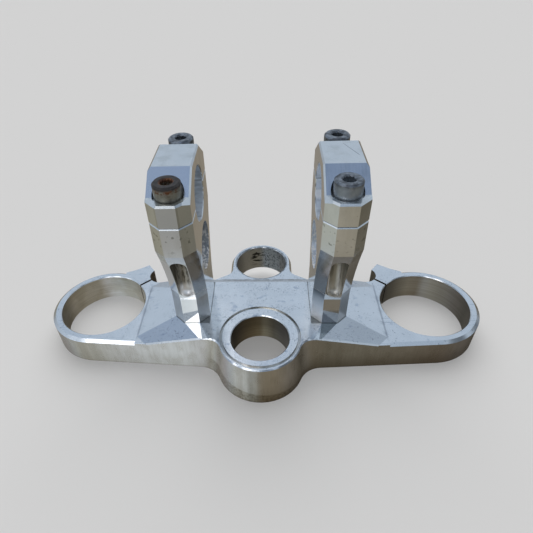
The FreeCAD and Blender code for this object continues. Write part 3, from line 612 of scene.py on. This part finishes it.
def polished_riser_aluminium(look):
    """Bright faced aluminium of the risers and caps: nearly mirror-like flats, duller slots and holes."""
    material, tree = fresh_material("polished_riser_aluminium")
    here = place(tree)
    left = ramp(tree, here.x, 10.0, -10.0)
    right = ramp(tree, here.x, -10.0, 10.0)
    sideways = add(tree, "Math", {0: here.normal_x}, operation="ABSOLUTE").outputs[0]
    colour = riser_faces(tree, here, look, left, right)
    slot, trough = slot_trough(tree, here, left, right)
    colour = blended(tree, slot, colour, trough)
    hole, film_with_painted_light = hole_film_and_light(tree, here, sideways, left, right)
    colour = blended(tree, hole, colour, film_with_painted_light)
    colour, bevel, inward = riser_bevels(tree, here, sideways, left, right, colour)
    colour = riser_dirt_and_shade(tree, here, right, colour)

    dull = either(tree, slot, hole)
    dull = add(tree, "Math", {0: inward, 1: 1.2, 2: dull}, operation="MULTIPLY_ADD").outputs[0]
    rough = spread(tree, grain(tree, here.point, 0.2), 0.06, 0.12)
    for mask, roughness in ((here.top, 0.2), (bevel, 0.28), (dull, 0.3)):
        rough = add(tree, "Mix", {0: mask, 2: rough, 3: roughness}).outputs[0]
    metallic = add(tree, "MapRange", {"Value": dull, 3: 1.0, 4: 0.45}, clamp=False).outputs[0]
    fine = grain(tree, here.point, 2.0, (1.0, 1.0, 0.1), detail=2.0)
    finish_with(tree, colour, rough, metallic, fine, 0.06, 0.00003)
    return material


# The screws' finish

def blackened_screw_steel(look, rusted):
    """Dark alloy steel of the socket screws: a black coating worn grey in places, rusted where it failed."""
    material, tree = fresh_material("rusted_screw_steel" if rusted else "blackened_screw_steel")
    point = surface_point(tree)
    z = add(tree, "SeparateXYZ", {0: point}).outputs[2]
    wear = ramp(tree, grain(tree, point, 0.4, detail=6.0), 0.35, 0.7)
    colour = blended(tree, wear, look.screw_colour[:], "#8A9097")
    low = overlap(tree, ramp(tree, z, SCREW_TOP - 0.1, SCREW_TOP - 2.7), ramp(tree, z, 110.0, 112.0))
    colour = blended(tree, overlap(tree, low, 0.6), colour, "#A9B2BA")
    rough = add(tree, "Mix", {0: wear, 2: 0.42, 3: 0.3}).outputs[0]
    metallic = 0.75
    if rusted:
        # A dark crown over a dull side, rust in patches under the rim and in the socket
        crown = ramp(tree, z, SCREW_TOP - 2.5, SCREW_TOP - 1.1)
        patch = ramp(tree, grain(tree, point, 0.5, detail=8.0), 0.42, 0.6)
        body = blended(tree, ramp(tree, grain(tree, point, 0.3, detail=5.0), 0.4, 0.7), "#8F8E84", "#67645B")
        colour = blended(tree, crown, body, blended(tree, patch, "#2F2B2A", "#3D3937"))
        under_rim = near(tree, z, SCREW_TOP - 2.4, 0.4, 1.3)
        colour = blended(tree, overlap(tree, under_rim, patch), colour, "#6B4630")
        socket = ramp(tree, apart(tree, point, -SCREW_X, SCREW_Y), SOCKET_RADIUS + 0.7, SOCKET_RADIUS - 0.3)
        rust = blended(tree, patch, look.rust_colour[:], "#7A5233")
        colour = blended(tree, overlap(tree, socket, crown), colour, rust)
        rough = add(tree, "Mix", {0: crown, 2: rough, 3: 0.6}).outputs[0]
        metallic = add(tree, "Mix", {0: crown, 2: 0.7, 3: 0.25}).outputs[0]
    finish_with(tree, colour, rough, metallic, wear, 0.15, 0.0001)
    return material


def give(names, material):
    """Puts one material on CAD nodes."""
    for name in names:
        mesh = frame["nodes"][name].data
        mesh.materials.clear()
        mesh.materials.append(material)


# Meshes

def grid_mesh(name, points, closed):
    """A surface from a grid of points, rows along the first index, one face between each four neighbours.

    A closed one also has faces between the last point of each row and the first.
    """
    rows, columns = points.shape[:2]
    index = np.arange(rows * columns).reshape(rows, columns)
    if closed:
        index = np.concatenate([index, index[:, :1]], axis=1)
    corners = [index[:-1, :-1], index[:-1, 1:], index[1:, 1:], index[1:, :-1]]
    faces = np.stack(corners, axis=-1).reshape(-1, 4)
    mesh = bpy.data.meshes.new(name)
    mesh.from_pydata(points.reshape(-1, 3).tolist(), [], faces.tolist())
    mesh.update()
    made = bpy.data.objects.new(name, mesh)
    bpy.context.scene.collection.objects.link(made)
    return made


def fluted_well(name, centre, top, count):
    """The worn ribbed wall of a screw's socket.

    The radius at an angle is the profile's radius less its share of a ripple with the given count of ribs,
    and the profile runs down the outside, over the rim, down the ribbed wall and across the floor.
    """
    points_per_rib = 10
    around = np.linspace(0.0, 2.0 * math.pi, count * points_per_rib, endpoint=False)
    ripple = RIB_DEPTH * (0.5 + 0.5 * np.cos(count * around))

    # Each row of the profile: radius, share of the ripple, drop below the top
    profile = np.array([
        (0.02, 0.0, SOCKET_DEPTH + 0.1),
        (SOCKET_RADIUS + 0.45, 0.0, SOCKET_DEPTH + 0.1),
        (SOCKET_RADIUS + 0.45, 0.0, 0.12),
        (SOCKET_RADIUS + 0.2, 0.0, 0.1),
        (SOCKET_RADIUS, 0.3, 0.45),
        (SOCKET_RADIUS, 1.0, 0.7),
        (SOCKET_RADIUS, 1.0, SOCKET_DEPTH),
        (0.02, 0.0, SOCKET_DEPTH + 0.02),
    ])
    radius, share, drop = profile.T[:, :, None]
    radii = radius - share * ripple
    points = np.stack([
        centre[0] + radii * np.cos(around),
        centre[1] + radii * np.sin(around),
        np.broadcast_to(top - drop, radii.shape)], axis=-1)
    return grid_mesh(name, points / 1000.0, True)


# Settings that a user would change

class ClampLook(bpy.types.PropertyGroup):
    """Colours and wear of the clamp"""
    plate_colour: bpy.props.FloatVectorProperty(
        name="Plate colour", description="Colour of the milled yoke plate", subtype="COLOR", size=4,
        default=linear("#E6E8EA"), min=0.0, max=1.0)
    riser_colour: bpy.props.FloatVectorProperty(
        name="Riser colour", description="Colour of the polished risers and caps", subtype="COLOR", size=4,
        default=linear("#ECEBE8"), min=0.0, max=1.0)
    screw_colour: bpy.props.FloatVectorProperty(
        name="Screw colour", description="Colour of the blackened steel screws", subtype="COLOR", size=4,
        default=linear("#515357"), min=0.0, max=1.0)
    rust_colour: bpy.props.FloatVectorProperty(
        name="Rust colour", description="Colour of the rust in the left rear screw", subtype="COLOR", size=4,
        default=linear("#5A3A2A"), min=0.0, max=1.0)
    speck_strength: bpy.props.FloatProperty(
        name="Speck strength", description="How dark the small specks on the flats are", subtype="FACTOR",
        default=0.6, min=0.0, max=1.0)
    flute_count: bpy.props.IntProperty(
        name="Socket ribs", description="Number of ribs in each screw's socket", default=12, min=6, max=24)


class ClampStudio(bpy.types.PropertyGroup):
    """Floor, lights and lens of the studio"""
    floor_colour: bpy.props.FloatVectorProperty(
        name="Floor colour", description="Colour of the plain floor", subtype="COLOR", size=4,
        default=(0.51, 0.51, 0.51, 1.0), min=0.0, max=1.0)
    floor_glow: bpy.props.FloatProperty(
        name="Floor glow", description="Light that the floor gives off itself, which softens the shadows",
        default=0.2, min=0.0)
    fill_strength: bpy.props.FloatProperty(
        name="Fill light", description="Strength of the even light from all round", default=0.36, min=0.0)
    sun_strength: bpy.props.FloatProperty(
        name="Top light", description="Strength of the broad light above and in front", default=2.1, min=0.0)
    panel_strength: bpy.props.FloatProperty(
        name="Panel light", description="Strength of the white panels that the metal mirrors", default=2.2,
        min=0.0)
    lens: bpy.props.FloatProperty(
        name="Lens", description="Focal length of the camera in millimetres", unit="CAMERA", default=29.318,
        min=1.0)


# Operators

class CLAMP_OT_plate(bpy.types.Operator):
    """Gives the yoke plate its worn milled finish"""
    bl_idname = "clamp.plate"
    bl_label = "Finish the plate"

    def execute(self, context):
        give(["yoke_plate"], worn_milled_aluminium(context.scene.clamp_look))
        return {"FINISHED"}


class CLAMP_OT_risers(bpy.types.Operator):
    """Gives the bar risers and their caps a bright machined finish"""
    bl_idname = "clamp.risers"
    bl_label = "Finish the risers"

    def execute(self, context):
        names = ["riser_left", "riser_right", "bar_cap_left", "bar_cap_right"]
        give(names, polished_riser_aluminium(context.scene.clamp_look))
        return {"FINISHED"}


class CLAMP_OT_screws(bpy.types.Operator):
    """Gives the screws dark steel, and ribs the worn sockets of the cap screws"""
    bl_idname = "clamp.screws"
    bl_label = "Finish the screws"

    def execute(self, context):
        look = context.scene.clamp_look
        dark = blackened_screw_steel(look, False)
        rusted = blackened_screw_steel(look, True)
        names = [name for name in frame["nodes"] if "screw" in name]
        give(names, dark)
        give(["cap_screw_rear_left"], rusted)
        for name in names:
            if not name.startswith("cap_screw"):
                continue
            low, high = box_mm(name)
            middle = (low + high) / 2.0
            ribs = name.replace("cap_screw", "socket_ribs")
            well = fluted_well(ribs, (middle.x, middle.y), high.z, look.flute_count)
            well.data.materials.append(rusted if name == "cap_screw_rear_left" else dark)
            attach(well, "root")
        return {"FINISHED"}


class CLAMP_OT_studio(bpy.types.Operator):
    """Builds the pale floor, the lights, the surroundings that the metal mirrors, and the camera"""
    bl_idname = "clamp.studio"
    bl_label = "Build the studio"

    def execute(self, context):
        studio = context.scene.clamp_studio
        make_floor(studio)
        make_lights(studio)
        make_surroundings(studio)
        make_camera(studio)
        context.scene.view_settings.view_transform = "Standard"
        return {"FINISHED"}


class CLAMP_PT_panel(bpy.types.Panel):
    """Lists the clamp's operators and settings"""
    bl_idname = "CLAMP_PT_panel"
    bl_label = "Triple Clamp"
    bl_space_type = "VIEW_3D"
    bl_region_type = "UI"
    bl_category = "Triple Clamp"

    def draw(self, context):
        layout = self.layout
        for operator in OPERATORS:
            layout.operator(operator.bl_idname)
        for group in (context.scene.clamp_look, context.scene.clamp_studio):
            for name in group.bl_rna.properties.keys():
                if name not in ("rna_type", "name"):
                    layout.prop(group, name)


# Studio

def make_floor(studio):
    """A plain pale floor that the metal doesn't mirror, with less shadow under the lock ring."""
    material, tree = fresh_material("pale_floor_paint")
    paint = add(tree, "BsdfDiffuse", {"Color": studio.floor_colour[:]})
    # Painted light: the floor glows more under the lock ring, which takes away the shadow there
    under_ring = apart(tree, surface_point(tree), 2.0, 87.0)
    lift = ramp(tree, under_ring, 6.0, 20.0, studio.floor_glow * 1.45, studio.floor_glow)
    glow = add(tree, "Emission", {"Color": (1.0, 1.0, 1.0, 1.0), "Strength": lift})
    shader = add(tree, "AddShader", {0: paint.outputs[0], 1: glow.outputs[0]})
    add(tree, "OutputMaterial", {"Surface": shader.outputs[0]})
    half = 12.0
    points = np.array([[[-half, -half, 0.0], [half, -half, 0.0]], [[-half, half, 0.0], [half, half, 0.0]]])
    floor = grid_mesh("floor", points, False)
    floor.data.materials.append(material)
    floor.visible_glossy = False


def make_lights(studio):
    """Even light from all round and one broad soft light from above the far side."""
    world = bpy.data.worlds.new("studio_fill")
    world.use_nodes = True
    tree = world.node_tree
    tree.nodes.clear()
    fill = add(tree, "Background", {"Color": (1.0, 1.0, 1.0, 1.0), "Strength": studio.fill_strength})
    add(tree, "OutputWorld", {"Surface": fill.outputs[0]})
    bpy.context.scene.world = world
    light = bpy.data.lights.new("broad_top_light", "SUN")
    light.energy = studio.sun_strength
    light.angle = math.radians(70.0)
    lamp = bpy.data.objects.new("broad_top_light", light)
    lamp.rotation_euler = (math.radians(-40.0), math.radians(-1.0), 0.0)
    lamp.visible_glossy = False
    bpy.context.scene.collection.objects.link(lamp)


def towards(turn, elevation):
    """Unit direction, azimuth from the far side towards the right, elevation above the floor, in degrees."""
    a = math.radians(turn)
    e = math.radians(elevation)
    return (math.sin(a) * math.cos(e), math.cos(a) * math.cos(e), math.sin(e))


def studio_surroundings(studio):
    """What the metal mirrors: warm ground, cool sky and white panels, painted by direction on a shell."""
    material, tree = fresh_material("studio_surroundings")
    shell_point = add(tree, "TexCoord").outputs["Object"]
    direction = add(tree, "VectorMath", {0: shell_point}, operation="NORMALIZE").outputs["Vector"]
    height = add(tree, "SeparateXYZ", {0: direction}).outputs[2]

    # Warm ground: one row of colours just under the horizon and one further down, both lighter to the left
    shallow = bands_round(tree, direction, 0.0, 0.0, [
        (-180.0, "#8C8B85"), (-164.0, "#989896"), (-120.0, "#9C9F99"), (-100.0, "#A6AAA4"),
        (-72.0, "#8D8B7E"), (-10.0, "#87827A"), (10.0, "#847D71"), (76.0, "#615D52"), (103.0, "#6F6D63"),
        (168.0, "#969184"), (180.0, "#8C8B85")])
    steep = bands_round(tree, direction, 0.0, 0.0, [
        (-176.0, "#79746A"), (-171.0, "#8A8A86"), (-167.0, "#E0E7EC"), (-160.0, "#C4CED4"),
        (-142.0, "#BCC4C8"), (-126.0, "#9DA09E"), (-113.0, "#B8BFC2"), (-97.0, "#A8B2BC"), (-78.0, "#94949A"),
        (-54.0, "#8F9090"), (0.0, "#77736A"), (54.0, "#4C4840"), (78.0, "#625F5A"), (102.0, "#6D6A66"),
        (140.0, "#6E685E"), (176.0, "#746E63")])
    ground = blended(tree, ramp(tree, height, -0.66, -0.57), steep, shallow)

    # Cool sky, brightest half way up, darker overhead
    sky = blended(tree, ramp(tree, height, 0.05, 0.45), "#A5AEB9", "#BAC8D8")
    sky = blended(tree, ramp(tree, height, 0.72, 0.97), sky, "#8B9EBB")
    colour = blended(tree, ramp(tree, height, -0.03, 0.05), ground, sky)

    # Round panels: azimuth, elevation, angle that is full, angle where it has faded out, colour
    white = (studio.panel_strength, studio.panel_strength, studio.panel_strength * 1.03, 1.0)
    panels = [
        (-148.0, 35.0, 7.0, 12.0, white),
        (-138.0, 52.0, 5.0, 9.0, white),
        (-168.0, 52.0, 3.0, 5.0, white),
        (-167.0, 42.0, 4.0, 6.0, white),
        (-156.0, 58.0, 4.0, 7.0, "#E6F0FC"),
        (-118.0, 28.0, 3.0, 7.0, white),
        (-15.0, 52.3, 3.0, 5.0, white),
        (169.5, 49.5, 4.5, 7.0, "#84929F"),
        (162.0, 40.0, 8.0, 10.0, "#7F8997"),
        (140.0, 50.0, 5.0, 9.0, "#9FAEBF"),
        (154.0, 50.0, 3.0, 6.0, "#C8D8EA"),
        (-100.0, 47.0, 8.0, 14.0, "#E8F2FF"),
        (100.0, 47.0, 8.0, 14.0, "#8794A4"),
        (82.0, 6.0, 5.0, 20.0, "#6E767E"),
        (117.0, 29.0, 12.0, 20.0, "#636A72"),
        (62.0, 52.0, 10.0, 22.0, "#9CA9B8"),
        (-62.0, 50.0, 10.0, 22.0, "#96A6BC"),
    ]
    for turn, elevation, inner, outer, shade in panels:
        lean = add(tree, "VectorMath", {0: direction, 1: towards(turn, elevation)}, operation="DOT_PRODUCT")
        mask = ramp(tree, lean.outputs["Value"], math.cos(math.radians(outer)), math.cos(math.radians(inner)))
        colour = blended(tree, mask, colour, shade)
    glow = add(tree, "Emission", {"Color": colour, "Strength": 1.12})
    add(tree, "OutputMaterial", {"Surface": glow.outputs[0]})
    return material


def make_surroundings(studio):
    """A large shell round the object that only mirror reflections see.

    The shell is a sphere: each point is the radius times the direction given by its two angles.
    """
    radius = 6.0
    pole_gap = 0.001
    around = np.linspace(0.0, 2.0 * math.pi, 64, endpoint=False)
    down = np.linspace(pole_gap, math.pi - pole_gap, 33)[:, None]
    points = np.stack([np.sin(down) * np.cos(around), np.sin(down) * np.sin(around),
                       np.cos(down) * np.ones_like(around)], axis=-1) * radius
    shell = grid_mesh("surroundings", points, True)
    shell.data.materials.append(studio_surroundings(studio))
    shell.visible_camera = False
    shell.visible_diffuse = False
    shell.visible_shadow = False


def make_camera(studio):
    """The camera of the photograph: above and behind the rider's side, looking down along the clamp."""
    camera = bpy.data.cameras.new("camera")
    camera.lens = studio.lens
    camera.sensor_width = 36.0
    camera.shift_x = 0.0416
    camera.shift_y = 0.0138
    camera.clip_start = 0.01
    camera.clip_end = 100.0
    seat = bpy.data.objects.new("camera", camera)

    # Turned and placed so that the round openings fall where the photograph shows them
    turn = Euler([math.radians(angle) for angle in (49.5372, 2.2811, 2.3364)])
    spot = Matrix.Translation((0.0053325, -0.1658282, 0.2156025))
    seat.matrix_world = spot @ turn.to_matrix().to_4x4()
    bpy.context.scene.collection.objects.link(seat)
    bpy.context.scene.camera = seat


OPERATORS = (CLAMP_OT_plate, CLAMP_OT_risers, CLAMP_OT_screws, CLAMP_OT_studio)
CLASSES = (ClampLook, ClampStudio) + OPERATORS + (CLAMP_PT_panel,)


def register():
    for made in CLASSES:
        bpy.utils.register_class(made)
    bpy.types.Scene.clamp_look = bpy.props.PointerProperty(type=ClampLook)
    bpy.types.Scene.clamp_studio = bpy.props.PointerProperty(type=ClampStudio)


def unregister():
    del bpy.types.Scene.clamp_studio
    del bpy.types.Scene.clamp_look
    for made in reversed(CLASSES):
        bpy.utils.unregister_class(made)


def main():
    """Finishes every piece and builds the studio."""
    register()
    bpy.ops.clamp.plate()
    bpy.ops.clamp.risers()
    bpy.ops.clamp.screws()
    bpy.ops.clamp.studio()


if __name__ == "__main__":
    main()
